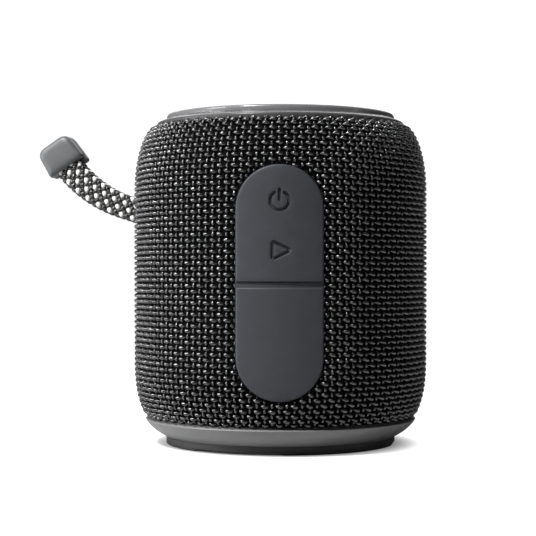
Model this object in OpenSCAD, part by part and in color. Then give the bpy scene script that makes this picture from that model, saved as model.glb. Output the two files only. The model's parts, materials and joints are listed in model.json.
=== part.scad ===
// Portable round speaker with a fabric sleeve, a control panel with a port cover, and a wrist strap.
// Millimetres. The origin is the centre of the base on the plane it rests on, +Z is up,
// the control panel faces -Y and the strap leaves on the -X side.

/* [Barrel] */
// Widest radius of the fabric
barrel_r = 44; // [43.8:0.1:44.4]
// Height of the fabric's lower edge
fabric_z0 = 7.8; // [7.7:0.1:8]
// Height of the fabric's upper edge
fabric_z1 = 95.5; // [95.3:0.1:95.6]
// Thickness of the fabric sleeve
fabric_t = 1.1; // [0.9:0.1:1.1]
// Thickness of the perforated shell under the fabric
grille_t = 1.8; // [1.5:0.1:1.8]

/* [Top and base] */
// Height of the raised rim on top
rim_z = 98.5; // [98:0.1:99]
// Outer radius of the raised rim
rim_r = 34.25; // [34:0.05:34.3]
// Outer radius of the rubber foot
foot_r = 34.4; // [34:0.1:34.6]
// Height of the rubber foot
foot_h = 2.6; // [2.4:0.1:2.6]
// Arc of each relief in the foot, in degrees
relief_arc = 50; // [30:1:60]

/* [Control panel] */
// Width of the pill-shaped panel
panel_w = 24.2; // [23.6:0.1:24.4]
// Height of the panel's lowest point
panel_z0 = 15.7; // [15.5:0.1:16]
// Height of the panel's highest point
panel_z1 = 81; // [80:0.1:82]
// Height of the groove between the keys and the port cover
groove_z = 47.9; // [47:0.1:49]
// Height of the power key's centre
power_z = 71; // [70.6:0.1:71.4]
// Height of the play key's centre
play_z = 57.4; // [57:0.1:57.6]
// Radius of the two round keys
key_r = 6.5; // [6:0.1:6.5]

/* [Strap] */
// Direction in which the strap leaves, counted from +X
strap_turn = 170; // [165:1:175]
// Width of the flattened braid
strap_w = 7.7; // [7:0.1:7.7]
// Thickness of the doubled braid
strap_t = 5.4; // [5:0.1:5.4]
// Slope at which the strap leaves the barrel
strap_slope = 18; // [15:1:20]
// Radius of the curve that the strap hangs in
strap_bend_r = 38; // [36:1:42]
// Arc of that curve, in degrees
strap_arc = 41; // [38:1:42]

/* [Hidden] */
$fn = 96;
gap = 0.05;                 // play between pieces that touch
far = 60;                   // longer than any cut needs

// The barrel's side: an elliptical curve below, a straight band, and an elliptical curve above.
low_a = 6;
low_b = 17.25;
low_z = 24;
high_a = 7.5;
high_b = 20.11;
high_z = 75.5;
curve_steps = 8;
low_end = asin((low_z - fabric_z0) / low_b);
high_end = asin((fabric_z1 - high_z) / high_b);

function unit(v) = v / norm(v);
function low_point(t, inset) =
    [barrel_r - low_a + low_a * cos(t), low_z - low_b * sin(t)]
    - inset * unit([cos(t) / low_a, -sin(t) / low_b]);
function high_point(t, inset) =
    [barrel_r - high_a + high_a * cos(t), high_z + high_b * sin(t)]
    - inset * unit([cos(t) / high_a, sin(t) / high_b]);
function side_curve(inset) = concat(
    [for (i = [curve_steps:-1:0]) low_point(low_end * i / curve_steps, inset)],
    [for (i = [0:curve_steps]) high_point(high_end * i / curve_steps, inset)]);
function reversed(list) = [for (i = [len(list) - 1:-1:0]) list[i]];

grille_in = fabric_t + 0.1;              // inset of the grille shell's outside
grille_back = grille_in + grille_t;      // inset of its inside
face_in = 0.3;                           // inset of the control panel's face
pad_back = face_in + 1.75;               // inset of the key pad's back
cover_back = face_in + 1.2;              // inset of the key caps' and the port cover's back
seat_in = pad_back + gap;                // inset of the panel frame's seat
flange_in = grille_back + 0.1;           // inset of the panel frame's flange
flange_back = flange_in + 1.7;           // inset of the frame's back
frame_back_r = barrel_r - flange_back;

sleeve_gap = 0.9;           // between the panel and the sleeve's edge, so that the port cover can swing

// Inside the barrel
box_r = 37.6;               // enclosure's outer radius
box_t = 2;                  // enclosure's wall
box_front = -33;            // flat front wall of the enclosure
box_z0 = 10.5;
box_z1 = 59;
baffle_z0 = box_z1 + 0.6;
baffle_z1 = baffle_z0 + 2.4;
chassis_z0 = 86.5;
chassis_z1 = 88.5;
collar_z = 90.4;            // top of the chassis's collar
ring_z0 = 90.5;             // underside of the top ring and of the bezel
board_front = -36.2;        // front face of the main board
board_back = -35;
usb_z = 36;
driver_z = baffle_z1 + 0.5; // underside of the driver's flange
post_r = 34;                // circle of the posts that carry the top
box_screw_angles = [28, 152, -20, 200];
box_screw_r = 33.6;         // circle of the screws between the enclosure and the baffle
base_screw_r = 31.5;        // circle of the screws that hold the base
quarter_turns = [0:90:270];
radiator_screw_r = 23.8;
driver_screw_r = 22.4;
quarter_angles = [45, 135, 225, 315];
board_screw_x = 9.5;
board_screw_z = [31, 77];
hinge_y = -41.6;            // axis of the port cover
hinge_z = panel_z0 + 5;
volume_x = 12;              // the volume keys sit this far from the centre
volume_r = 6;
key_cap_t = 1.6;
panel_top = 96.3;           // face of the recessed top panel
grommet_x = 8;
grommet_z = 50;
wire_w = 0.95;              // flat twin leads, as square runs
wire_hole_r = 0.7;
screw_r = 0.8;
pilot_r = 0.85;

// Strap geometry, in a frame whose +X is the direction in which the strap leaves
pin_x = 39.6;
lift_x = 48.5;
lift_z = 71.3;
bend_x = lift_x - strap_bend_r * sin(strap_slope);
bend_z = lift_z + strap_bend_r * cos(strap_slope);
clip_len = 8.8;
clip_mouth_w = 12.6;
clip_end_w = 10.7;
clip_half_t = 4.3;
clip_x = 66.2;
clip_z = 83.2;
clip_slope = 56;

// ---- helpers ----
module band(outer, inner) {
    rotate_extrude() polygon(concat(side_curve(outer), reversed(side_curve(inner))));
}
module ring(r_out, r_in, z0, z1) {
    difference() {
        translate([0, 0, z0]) cylinder(r = r_out, h = z1 - z0);
        translate([0, 0, z0 - 1]) cylinder(r = r_in, h = z1 - z0 + 2);
    }
}
module rod(r, z0, z1) {
    translate([0, 0, z0]) cylinder(r = r, h = z1 - z0);
}
module rod_y(x, z, r, y0, y1) {
    translate([x, y0, z]) rotate([-90, 0, 0]) cylinder(r = r, h = y1 - y0);
}
module rod_x(y, z, r, x0, x1) {
    translate([x0, y, z]) rotate([0, 90, 0]) cylinder(r = r, h = x1 - x0);
}
module block(x0, x1, y0, y1, z0, z1) {
    translate([x0, y0, z0]) cube([x1 - x0, y1 - y0, z1 - z0]);
}
module around(angles, r) {
    for (a = angles) rotate([0, 0, a]) translate([r, 0, 0]) children();
}
module pill_outline(grow) {
    r = panel_w / 2;
    translate([-r - grow, panel_z0 + r]) square([2 * (r + grow), panel_z1 - panel_z0 - 2 * r]);
    translate([0, panel_z0 + r]) circle(r = r + grow);
    translate([0, panel_z1 - r]) circle(r = r + grow);
}
module pill_prism(grow) {
    translate([0, -30, 0]) rotate([90, 0, 0]) linear_extrude(20) pill_outline(grow);
}
module pill_skin(grow, outer, inner) {
    intersection() {
        band(outer, inner);
        pill_prism(grow);
    }
}
module stadium(w, h) {
    r = h / 2;
    translate([-w / 2 + r, -r]) square([w - h, h]);
    translate([-w / 2 + r, 0]) circle(r = r);
    translate([w / 2 - r, 0]) circle(r = r);
}
module stadium_y(w, h, z, y0, y1) {
    translate([0, y1, z]) rotate([90, 0, 0]) linear_extrude(y1 - y0) stadium(w, h);
}
module d_disc(r, front, z0, z1) {
    difference() {
        rod(r, z0, z1);
        block(-far, far, front - far, front, z0 - 1, z1 + 1);
    }
}
module wire(points, w) {
    // straight square runs that overshoot their corners a little, so that each corner is filled
    for (i = [0:len(points) - 2]) {
        d = points[i + 1] - points[i];
        translate(points[i] - 0.4 * w * unit(d))
            rotate([0, acos(d[2] / norm(d)), atan2(d[1], d[0])])
                translate([-w / 2, -w / 2, 0]) cube([w, w, norm(d) + 0.8 * w]);
    }
}
module screw(head_r, head_h, shank, length) {
    cylinder(r = head_r, h = head_h, $fn = 32);
    translate([0, 0, -length]) cylinder(r = shank, h = length, $fn = 32);
}
module strap_side() {
    rotate([0, 0, strap_turn]) children();
}
module strap_slot() {
    strap_side() block(35, 50, -4.1, 4.1, 64.6, 74.4);
}

// ---- outer skin ----
module fabric_sleeve() {
    color([0.1, 0.1, 0.11]) difference() {
        band(0, fabric_t);
        pill_prism(sleeve_gap);
        strap_slot();
    }
}
module grille_slots() {
    slot_w = 2.4;
    slot_h = 13;
    for (level = [0:2])
        for (i = [0:19])
            rotate([0, 0, -90 + 30 + i * 300 / 19])
                block(barrel_r - 8, barrel_r + 2, -slot_w / 2, slot_w / 2,
                    26 + 19 * level, 26 + slot_h + 19 * level);
}
module grille_shell() {
    color([0.16, 0.16, 0.17]) difference() {
        band(grille_in, grille_back);
        pill_prism(0.8);
        strap_slot();
        difference() {
            grille_slots();
            strap_side() block(30, 60, -9, 9, 60, 80);
        }
    }
}

// ---- top ----
module top_ring() {
    edge = high_point(high_end, 0);
    under = high_point(high_end, grille_back);
    color([0.4, 0.4, 0.41]) rotate_extrude() polygon([
        [edge[0] - 0.12, fabric_z1 + 0.06], [edge[0] - 0.4, fabric_z1 + 0.4],
        [rim_r + 0.08, 97], [rim_r + 0.08, ring_z0], [36.1, ring_z0],
        [under[0] - 0.12, under[1]]]);
}
module top_bezel() {
    round_r = 0.9;
    in_r = 31;
    ledge_r = 29;
    color([0.3, 0.3, 0.31]) rotate_extrude() polygon(concat(
        [[rim_r, ring_z0]],
        [for (a = [0:15:90]) [rim_r - round_r + round_r * cos(a), rim_z - round_r + round_r * sin(a)]],
        [for (a = [90:15:180]) [in_r + round_r + round_r * cos(a), rim_z - round_r + round_r * sin(a)]],
        [[in_r, 93.2], [ledge_r, 93.2], [ledge_r, 91.8], [in_r, 91.8], [in_r, ring_z0]]));
}
module top_panel() {
    color([0.2, 0.2, 0.21]) difference() {
        rod(30.9, 93.3, panel_top);
        for (s = [-1, 1]) translate([s * volume_x, 0, 0]) {
            rod(volume_r + 0.1, 94.3, 97);
            rod(1.85, 93, 95);
        }
    }
}
module volume_key(x) {
    cap_z = panel_top + 0.15;
    translate([x, 0, 0]) {
        rod(volume_r, cap_z - key_cap_t, cap_z);
        rod(1.6, 93.4, cap_z - 1);
        rod(0.95, 92, 93.5);
    }
}
module volume_up_key() {
    color([0.24, 0.24, 0.25]) volume_key(volume_x);
}
module volume_down_key() {
    color([0.24, 0.24, 0.25]) volume_key(-volume_x);
}
module ribbon_notch() {
    block(-5, 5, -36.5, -33.5, chassis_z0 - 1, collar_z + 1);
    block(-5, 5, -36.5, -30, chassis_z1 + 0.2, collar_z + 1);
}
module top_chassis() {
    color([0.15, 0.15, 0.16]) difference() {
        union() {
            rod(38.4, chassis_z0, chassis_z1);
            ring(35.9, 31.5, chassis_z1 - 0.5, collar_z);
            around(quarter_angles, 16) rod(2, chassis_z1 - 0.5, 89.55);
        }
        around(quarter_angles, post_r) {
            rod(1.15, chassis_z0 - 1, chassis_z1 + 1);
            rod(2, chassis_z1, collar_z + 1);
        }
        ribbon_notch();
    }
}
module deflector() {
    tip_z = 69;
    wide_r = 31;
    t = 1.5;
    top_z = chassis_z0 - gap;
    steps = 8;
    // the outside flares from a round tip to the chassis along a quarter ellipse
    function flare(a) = [wide_r * (1 - cos(a)), tip_z + (top_z - tip_z) * sin(a)];
    color([0.13, 0.13, 0.14]) rotate_extrude() polygon(concat(
        [for (i = [0:steps]) flare(90 * i / steps)],
        [for (i = [steps - 2:-1:2]) let (p = flare(90 * i / steps))
            [p[0] - 0.4 * t, min(p[1] + t, top_z)]],
        [[0, flare(90 / steps)[1] + t]]));
}
module top_board() {
    color([0.05, 0.3, 0.15]) rod(20, 89.6, 90.8);
}
module top_switches() {
    color([0.7, 0.7, 0.7]) for (s = [-1, 1]) translate([s * volume_x, 0, 0]) difference() {
        block(-3, 3, -3, 3, 90.85, 92.45);
        rod(1, 91.25, 93);
    }
}
module ribbon_cable() {
    color([0.85, 0.8, 0.6]) {
        block(-4, 4, -34.9, -34.6, 72, 89.3);
        block(-4, 4, -34.9, -18, 89, 89.3);
    }
}
module chassis_screws() {
    color([0.6, 0.6, 0.62]) around(quarter_angles, post_r)
        translate([0, 0, chassis_z1 + gap]) screw(1.7, 1.3, screw_r, 9);
}

// ---- base ----
module base_ring() {
    edge = low_point(low_end, 0);
    inner = low_point(low_end, grille_back);
    lip = [edge[0] + 0.55, fabric_z0 - 0.4];
    foot = [34.7, foot_h];
    pull = [38.6, 4.3];     // the side bulges towards this point
    wall_r = 35.4;
    color([0.35, 0.35, 0.36]) difference() {
        union() {
            rotate_extrude() polygon(concat(
                [for (i = [0:6]) let (t = i / 6)
                    (1 - t) * (1 - t) * foot + 2 * t * (1 - t) * pull + t * t * lip],
                [edge + [0.25, -0.1], edge + [-0.07, -0.08], inner + [-0.1, -0.07]],
                [[37.2, 10.4], [wall_r, 10.4], [wall_r, 4.6], [30, 4.6], [30, 6], [27, 6],
                    [27, 4.35], [29, 4.35], [29, foot_h]]));
            around(quarter_angles, base_screw_r) rod(2.6, 4, box_z0 - 0.1);
        }
        around(quarter_angles, base_screw_r) {
            rod(1.15, 0, 20);
            rod(2.1, 0, 4.4);
        }
    }
}
module bottom_cover() {
    color([0.1, 0.1, 0.11]) difference() {
        rod(28.9, 2.8, 4.3);
        for (a = [0:30:330]) rotate([0, 0, a]) block(9, 24, -1.6, 1.6, 2, 5);
        ring(6.5, 5, 2, 5);
    }
    color([0.1, 0.1, 0.11]) for (a = [0:60:300]) rotate([0, 0, a]) block(4, 7.5, -0.8, 0.8, 2.8, 4.3);
}
module foot_relief() {
    // a wedge-ended notch in the outer part of the foot, with a window through its inner lip
    lip_r = 30.6;
    for (i = [0:2]) rotate([0, 0, -90 - 22 + 120 * i]) {
        rotate([0, 0, -relief_arc / 2]) rotate_extrude(angle = relief_arc)
            translate([lip_r, -1]) square([10, 2.5]);
        rotate([0, 0, -relief_arc / 2 + 4]) rotate_extrude(angle = relief_arc - 8)
            translate([20, 0.7]) square([20, 0.8]);
    }
}
module foot_ring() {
    color([0.08, 0.08, 0.08]) difference() {
        rotate_extrude() polygon([[28.2, 0], [foot_r - 0.5, 0], [foot_r - 0.1, 0.4],
            [foot_r, foot_h - gap], [28.2, foot_h - gap]]);
        foot_relief();
    }
}
module base_screws() {
    color([0.6, 0.6, 0.62]) around(quarter_angles, base_screw_r)
        translate([0, 0, 4.35]) rotate([180, 0, 0]) screw(1.9, 1.5, 1, 14);
}

// ---- control panel ----
module panel_frame() {
    color([0.17, 0.17, 0.18]) difference() {
        union() {
            pill_skin(2.6, flange_in, flange_back);
            pill_skin(0.3, seat_in, flange_in + 0.2);
            for (s = [-1, 1]) for (z = board_screw_z)
                rod_y(s * board_screw_x, z, 2, -39, board_front - gap);
        }
        for (z = [power_z, play_z]) rod_y(0, z, 1.8, -50, -30);
        stadium_y(9.8, 4, usb_z, -50, -30);
        intersection() {
            pill_prism(0.6);
            block(-20, 20, -50, -30, 0, hinge_z + 1.5);
        }
        for (s = [-1, 1]) for (z = board_screw_z)
            rod_y(s * board_screw_x, z, pilot_r, -38.6, -30);
    }
    // two ears carry the port cover's pin
    color([0.17, 0.17, 0.18]) for (s = [-1, 1]) difference() {
        union() {
            rod_x(hinge_y, hinge_z, 0.95, s * 6 - 1, s * 6 + 1);
            block(s * 6 - 1, s * 6 + 1, hinge_y, hinge_y + 0.95, hinge_z, hinge_z + 1.6);
            block(s * 6 - 1, s * 6 + 1, hinge_y + 0.2, -39.4, hinge_z + 1.2, hinge_z + 2.6);
        }
        rod_x(hinge_y, hinge_z, 0.5, -10, 10);
    }
}
module power_mark() {
    stroke = 0.8;
    r = 2.97;
    difference() {
        circle(r = r);
        circle(r = r - stroke);
        translate([-1.2, 0]) square([2.4, 5]);
    }
    translate([-stroke / 2, -0.1]) square([stroke, 3.5]);
}
module play_mark() {
    difference() {
        polygon([[-3.1, -3.1], [-3.1, 3.1], [3.1, 0]]);
        polygon([[-2.2, -1.7], [-2.2, 1.7], [1.25, 0]]);
    }
}
module mark_cut(x, z) {
    intersection() {
        band(-1, face_in + 0.4);
        translate([x, -30, z]) rotate([90, 0, 0]) linear_extrude(20) children();
    }
}
module round_key(z) {
    intersection() {
        band(face_in, cover_back);
        rod_y(0, z, key_r, -50, -30);
    }
    rod_y(0, z, 1.6, -barrel_r + cover_back - 0.5, -38.6);
    rod_y(0, z, 0.95, -38.8, -37.3);
}
module key_pad() {
    color([0.26, 0.27, 0.29]) difference() {
        pill_skin(0, face_in, pad_back);
        block(-20, 20, -50, -30, 0, groove_z + 0.75);
        for (z = [power_z, play_z]) rod_y(0, z, key_r + 0.1, -50, -30);
    }
}
module power_key() {
    color([0.26, 0.27, 0.29]) difference() {
        round_key(power_z);
        mark_cut(0, power_z) power_mark();
    }
}
module play_key() {
    color([0.26, 0.27, 0.29]) difference() {
        round_key(play_z);
        mark_cut(0.6, play_z) play_mark();
    }
}
module port_cover() {
    color([0.26, 0.27, 0.29]) difference() {
        union() {
            intersection() {
                pill_skin(0, face_in, cover_back);
                block(-20, 20, -50, -30, 0, groove_z - 0.75);
            }
            intersection() {
                pill_skin(0, face_in + 0.7, cover_back);
                block(-20, 20, -50, -30, 0, groove_z + 0.6);
            }
            intersection() {
                band(cover_back - 0.2, cover_back + 0.45);
                difference() {
                    stadium_y(12, 6.2, usb_z, -50, -30);
                    stadium_y(10.4, 4.6, usb_z, -50, -30);
                }
            }
            rod_x(hinge_y, hinge_z, 0.95, -4.6, 4.6);
            block(-4.6, 4.6, -42.6, hinge_y, hinge_z - 0.9, hinge_z + 0.9);
        }
        rod_x(hinge_y, hinge_z, 0.55, -8, 8);
        for (s = [-1, 1]) rod_x(hinge_y, hinge_z, 1.1, s * 6 - 1.2, s * 6 + 1.2);
    }
}
module port_cover_pin() {
    color([0.6, 0.6, 0.62]) rod_x(hinge_y, hinge_z, 0.49, -7, 7);
}

// ---- electronics ----
module main_board() {
    color([0.05, 0.3, 0.15]) difference() {
        block(-13, 13, board_front, board_back, 28.5, 79.5);
        for (s = [-1, 1]) for (z = board_screw_z) rod_y(s * board_screw_x, z, 1, -40, -30);
    }
}
module key_switches() {
    color([0.7, 0.7, 0.7]) for (z = [power_z, play_z]) difference() {
        block(-3, 3, -37.9, board_front - gap, z - 3, z + 3);
        rod_y(0, z, 1, -39, -36.75);
    }
}
module usb_c_port() {
    mouth_y = -barrel_r + seat_in + 0.6;
    color([0.75, 0.75, 0.77]) {
        difference() {
            stadium_y(8.94, 3.26, usb_z, mouth_y, board_front - gap);
            stadium_y(8.34, 2.56, usb_z, mouth_y - 1, board_front - 1);
        }
        block(-3.35, 3.35, mouth_y + 0.8, board_front - 0.8, usb_z - 0.35, usb_z + 0.35);
    }
}
module bluetooth_module() {
    color([0.75, 0.75, 0.77]) block(-6, 6, -38.1, board_front - gap, 42.5, 53);
}
module board_chips() {
    color([0.06, 0.06, 0.06]) {
        block(-9, -3, board_back + gap, -33.8, 38, 44);
        block(-8, -1, board_back + gap, -33.8, 52, 57);
        block(2, 8, board_back + gap, -33.8, 38, 43);
    }
}
module board_screws() {
    color([0.6, 0.6, 0.62]) for (s = [-1, 1]) for (z = board_screw_z)
        translate([s * board_screw_x, board_back + gap, z]) rotate([-90, 0, 0])
            screw(1.7, 1.1, screw_r, 3.2);
}
module battery_cell() {
    corner = 2;
    color([0.55, 0.56, 0.6]) translate([0, 0, 13.5]) linear_extrude(42) {
        translate([-14 + corner, 24]) square([28 - 2 * corner, 8]);
        translate([-14, 24 + corner]) square([28, 8 - 2 * corner]);
        for (x = [-14 + corner, 14 - corner]) for (y = [24 + corner, 32 - corner])
            translate([x, y]) circle(r = corner);
    }
}
module battery_cradle() {
    color([0.12, 0.12, 0.13]) {
        block(-14, 14, 22.3, 32, box_z0 + box_t + gap, 13.4);
        block(-14, 14, 22.3, 23.8, box_z0 + box_t + gap, 45);
    }
}
module battery_lead() {
    color([0.7, 0.1, 0.1]) wire([[10, 26, 57.4], [25, 17, 57.4], [26, -8, 57.4], [14, -25, 57.4],
        [grommet_x + 0.95, -29.3, grommet_z], [grommet_x + 0.95, board_back + 0.5, grommet_z]], wire_w);
}
module driver_lead() {
    color([0.15, 0.15, 0.15]) wire([[0, -21.5, 57], [grommet_x - 0.95, -29.3, grommet_z],
        [grommet_x - 0.95, board_back + 0.5, grommet_z]], wire_w);
}
module wire_grommet() {
    color([0.08, 0.08, 0.08]) difference() {
        union() {
            rod_y(grommet_x, grommet_z, 2.35, box_front - 0.5, box_front + box_t + 0.5);
            rod_y(grommet_x, grommet_z, 3.4, box_front - 0.95, box_front - gap);
            rod_y(grommet_x, grommet_z, 3.4, box_front + box_t + gap, box_front + box_t + 0.95);
        }
        for (s = [-1, 1]) rod_y(grommet_x + s * 0.95, grommet_z, wire_hole_r, -40, -20);
    }
}

// ---- enclosure ----
module enclosure_body() {
    color([0.12, 0.12, 0.13]) difference() {
        union() {
            difference() {
                d_disc(box_r, box_front, box_z0, box_z1);
                d_disc(box_r - box_t, box_front + box_t, box_z0 + box_t, box_z1 + 1);
            }
            around(quarter_angles, base_screw_r) rod(2.6, box_z0 + 0.5, 22);
            around(box_screw_angles, box_screw_r) rod(2.4, 50, box_z1 - 0.2);
        }
        rod(21, 0, 20);
        around(quarter_angles, base_screw_r) rod(1.05, 0, 20);
        around(box_screw_angles, box_screw_r) rod(pilot_r, 51, 70);
        around(quarter_turns, radiator_screw_r) rod(pilot_r, 0, 20);
        rod_y(grommet_x, grommet_z, 2.4, -40, -20);
    }
}
module enclosure_gasket() {
    color([0.06, 0.06, 0.06]) difference() {
        d_disc(box_r, box_front, box_z1 + gap, baffle_z0 - gap);
        d_disc(box_r - box_t, box_front + box_t, box_z1 - 1, baffle_z0 + 1);
    }
}
module baffle_plate() {
    color([0.12, 0.12, 0.13]) difference() {
        union() {
            d_disc(box_r, box_front, baffle_z0, baffle_z1);
            around(quarter_angles, post_r) rod(2.4, baffle_z1 - 0.5, chassis_z0 - gap);
        }
        rod(20.95, 0, 80);
        around(quarter_angles, post_r) rod(pilot_r, 78, 90);
        around(box_screw_angles, box_screw_r) rod(1.1, 50, 70);
        around(quarter_angles, driver_screw_r) rod(pilot_r, 50, 70);
    }
}
module baffle_screws() {
    color([0.6, 0.6, 0.62]) around(box_screw_angles, box_screw_r)
        translate([0, 0, baffle_z1 + gap]) screw(1.7, 1.2, screw_r, 9);
}

// ---- driver ----
module driver_gasket() {
    color([0.05, 0.05, 0.05]) difference() {
        ring(23.9, 21.1, baffle_z1 + gap, driver_z - gap);
        around(quarter_angles, driver_screw_r) rod(1.1, 50, 70);
    }
}
module driver_basket() {
    z = driver_z;
    color([0.3, 0.3, 0.32]) difference() {
        rotate_extrude() polygon([[24, z], [24, z + 1.5], [20.3, z + 1.5], [20.3, z + 0.2],
            [19.4, z + 0.2], [19.2, z - 2], [12.7, z - 12.1], [12.7, z - 12.7], [8, z - 12.7],
            [8, z - 13.9], [13.6, z - 13.9], [13.6, z - 12.4], [20.4, z - 2.2], [20.7, z]]);
        for (a = [30:60:330]) rotate([0, 0, a]) block(10, 30, -4, 4, z - 10.5, z - 3.5);
        around(quarter_angles, driver_screw_r) rod(1.1, 50, 70);
    }
}
module driver_yoke() {
    color([0.5, 0.5, 0.52]) {
        rod(13, driver_z - 24, driver_z - 21.5);
        rod(6.15, driver_z - 22, driver_z - 14);
    }
}
module driver_magnet() {
    color([0.2, 0.2, 0.22]) ring(13, 8.4, driver_z - 21.5 + gap, driver_z - 16.5);
}
module driver_top_plate() {
    color([0.5, 0.5, 0.52]) ring(13, 7.6, driver_z - 16.5 + gap, driver_z - 13.9 - gap);
}
module voice_coil() {
    color([0.72, 0.42, 0.2]) {
        ring(6.85, 6.45, driver_z - 19, driver_z - 7.2);
        ring(7.3, 6.8, driver_z - 17.5, driver_z - 13.5);
    }
}
module driver_cone() {
    color([0.15, 0.15, 0.16]) rotate_extrude() polygon([[6.95, driver_z - 7.2],
        [16, driver_z + 0.3], [16, driver_z + 0.9], [6.95, driver_z - 6.5]]);
}
module dust_cap() {
    cap_r = 10;
    base_z = driver_z - 6.2;
    base_half = 7.2;
    centre_z = base_z - sqrt(cap_r * cap_r - base_half * base_half);
    color([0.12, 0.12, 0.13]) intersection() {
        difference() {
            translate([0, 0, centre_z]) sphere(r = cap_r);
            translate([0, 0, centre_z]) sphere(r = cap_r - 0.4);
        }
        rod(20, base_z, base_z + 10);
    }
}
module driver_surround() {
    mid = 17.6;
    roll = 1.45;
    edge_r = 19.05;     // clears the basket as the cone moves down
    t = 0.5;
    color([0.05, 0.05, 0.05]) rotate_extrude() {
        intersection() {
            translate([mid, driver_z + 0.9]) difference() {
                circle(r = roll, $fn = 32);
                circle(r = roll - t, $fn = 32);
            }
            translate([mid - 5, driver_z + 0.9]) square([10, 5]);
        }
        translate([16.05, driver_z + 0.9]) square([mid - roll + t - 16.05, t]);
        translate([mid + roll - t, driver_z + 0.9]) square([edge_r - mid - roll + t, t]);
    }
}
module driver_spider() {
    color([0.6, 0.5, 0.3]) rotate_extrude() polygon([[6.9, driver_z - 9.8], [8.4, driver_z - 9.2],
        [9.9, driver_z - 9.8], [11.4, driver_z - 9.2], [12.9, driver_z - 9.8], [12.9, driver_z - 9.3],
        [11.4, driver_z - 8.7], [9.9, driver_z - 9.3], [8.4, driver_z - 8.7], [6.9, driver_z - 9.3]]);
}
module driver_screws() {
    color([0.6, 0.6, 0.62]) around(quarter_angles, driver_screw_r)
        translate([0, 0, driver_z + 1.5 + gap]) screw(1.5, 1.1, screw_r, 4.2);
}

// ---- passive radiator ----
module radiator_frame() {
    color([0.2, 0.2, 0.21]) difference() {
        ring(26, 20.15, 8.3, box_z0 - gap);
        around(quarter_turns, radiator_screw_r) rod(1.1, 0, 20);
    }
}
module radiator_surround() {
    mid = 18.1;
    roll = 1.7;
    t = 0.5;
    color([0.05, 0.05, 0.05]) rotate_extrude() {
        intersection() {
            translate([mid, 9.4]) difference() {
                circle(r = roll, $fn = 32);
                circle(r = roll - t, $fn = 32);
            }
            translate([mid - 5, 4.4]) square([10, 5]);
        }
        translate([15.9, 9.4 - t]) square([mid - roll + t - 15.9, t]);
        translate([mid + roll - t, 9.4 - t]) square([20 - mid - roll + t, t]);
    }
}
module radiator_plate() {
    color([0.35, 0.35, 0.37]) {
        rod(15.85, 8.5, 9.6);
        rod(9, 7.9, 8.6);
        rod(7, 9.5, 11.5);
    }
}
module radiator_screws() {
    color([0.6, 0.6, 0.62]) around(quarter_turns, radiator_screw_r)
        translate([0, 0, 8.25]) rotate([180, 0, 0]) screw(1.6, 1, screw_r, 4);
}

// ---- strap ----
module strap_anchor() {
    color([0.3, 0.3, 0.32]) strap_side() difference() {
        union() {
            block(33, 40.3, -5, 5, baffle_z1 + gap, 63.6);
            block(33.5, 35.8, -4, 4, 63, 76);
            block(33.5, 38.5, -3, 3, 74.7, 76.2);
            translate([pin_x - 0.8, 0, 0]) rod(2, 74.7, 76.2);
        }
        translate([pin_x, 0, 0]) rod(1.02, 60, 80);
    }
}
module strap_pin() {
    color([0.6, 0.6, 0.62]) strap_side() translate([pin_x, 0, 0]) rod(1, baffle_z1 + 0.1, 76.1);
}
module strap_root() {
    mid_z = lift_z - (lift_x - pin_x) * tan(strap_slope);
    run = (lift_x - pin_x) / cos(strap_slope);
    color([0.12, 0.12, 0.13]) strap_side() difference() {
        union() {
            translate([lift_x, 0, lift_z]) rotate([0, -strap_slope, 0])
                block(-run, -4, -strap_t / 2, strap_t / 2, -strap_w / 2, strap_w / 2);
            translate([pin_x, 0, 0]) rod(strap_t / 2, mid_z - 3.6, mid_z + 3.6);
        }
        translate([pin_x, 0, 0]) rod(1.05, 50, 90);
    }
}
module strap_loop() {
    color([0.12, 0.12, 0.13]) strap_side() {
        translate([bend_x, 0, bend_z]) rotate([90, 0, 0]) rotate([0, 0, strap_slope - 90])
            rotate_extrude(angle = strap_arc)
                translate([strap_bend_r - strap_w / 2, -strap_t / 2]) square([strap_w, strap_t]);
        // a rounded end, a hair smaller than the strap so that no two surfaces are tangent
        translate([lift_x, strap_t / 2 - 0.1, lift_z]) rotate([90, 0, 0])
            cylinder(r = strap_w / 2 - gap, h = strap_t - 0.2);
    }
}
module clip_outline(inset) {
    corner = 2.2;
    r = corner - inset;
    hull() {
        for (s = [-1, 1]) {
            translate([corner, s * (clip_mouth_w / 2 - corner)]) circle(r = r, $fn = 32);
            translate([clip_len - corner, s * (clip_end_w / 2 - corner)]) circle(r = r, $fn = 32);
        }
    }
}
module clip_half(side) {
    // side 1 is towards the front, -1 towards the back
    color([0.42, 0.42, 0.43]) strap_side()
        translate([clip_x, 0, clip_z]) rotate([0, -clip_slope, 0]) rotate([90, 0, 0]) difference() {
            translate([0, 0, side > 0 ? -clip_half_t : 0.1]) linear_extrude(clip_half_t - 0.1)
                clip_outline(0);
            translate([-1, -4.4, -strap_t / 2 - 0.1]) cube([clip_len - 1, 8.8, strap_t + 0.2]);
        }
}
module clip_front() {
    clip_half(1);
}
module clip_rear() {
    clip_half(-1);
}

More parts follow.
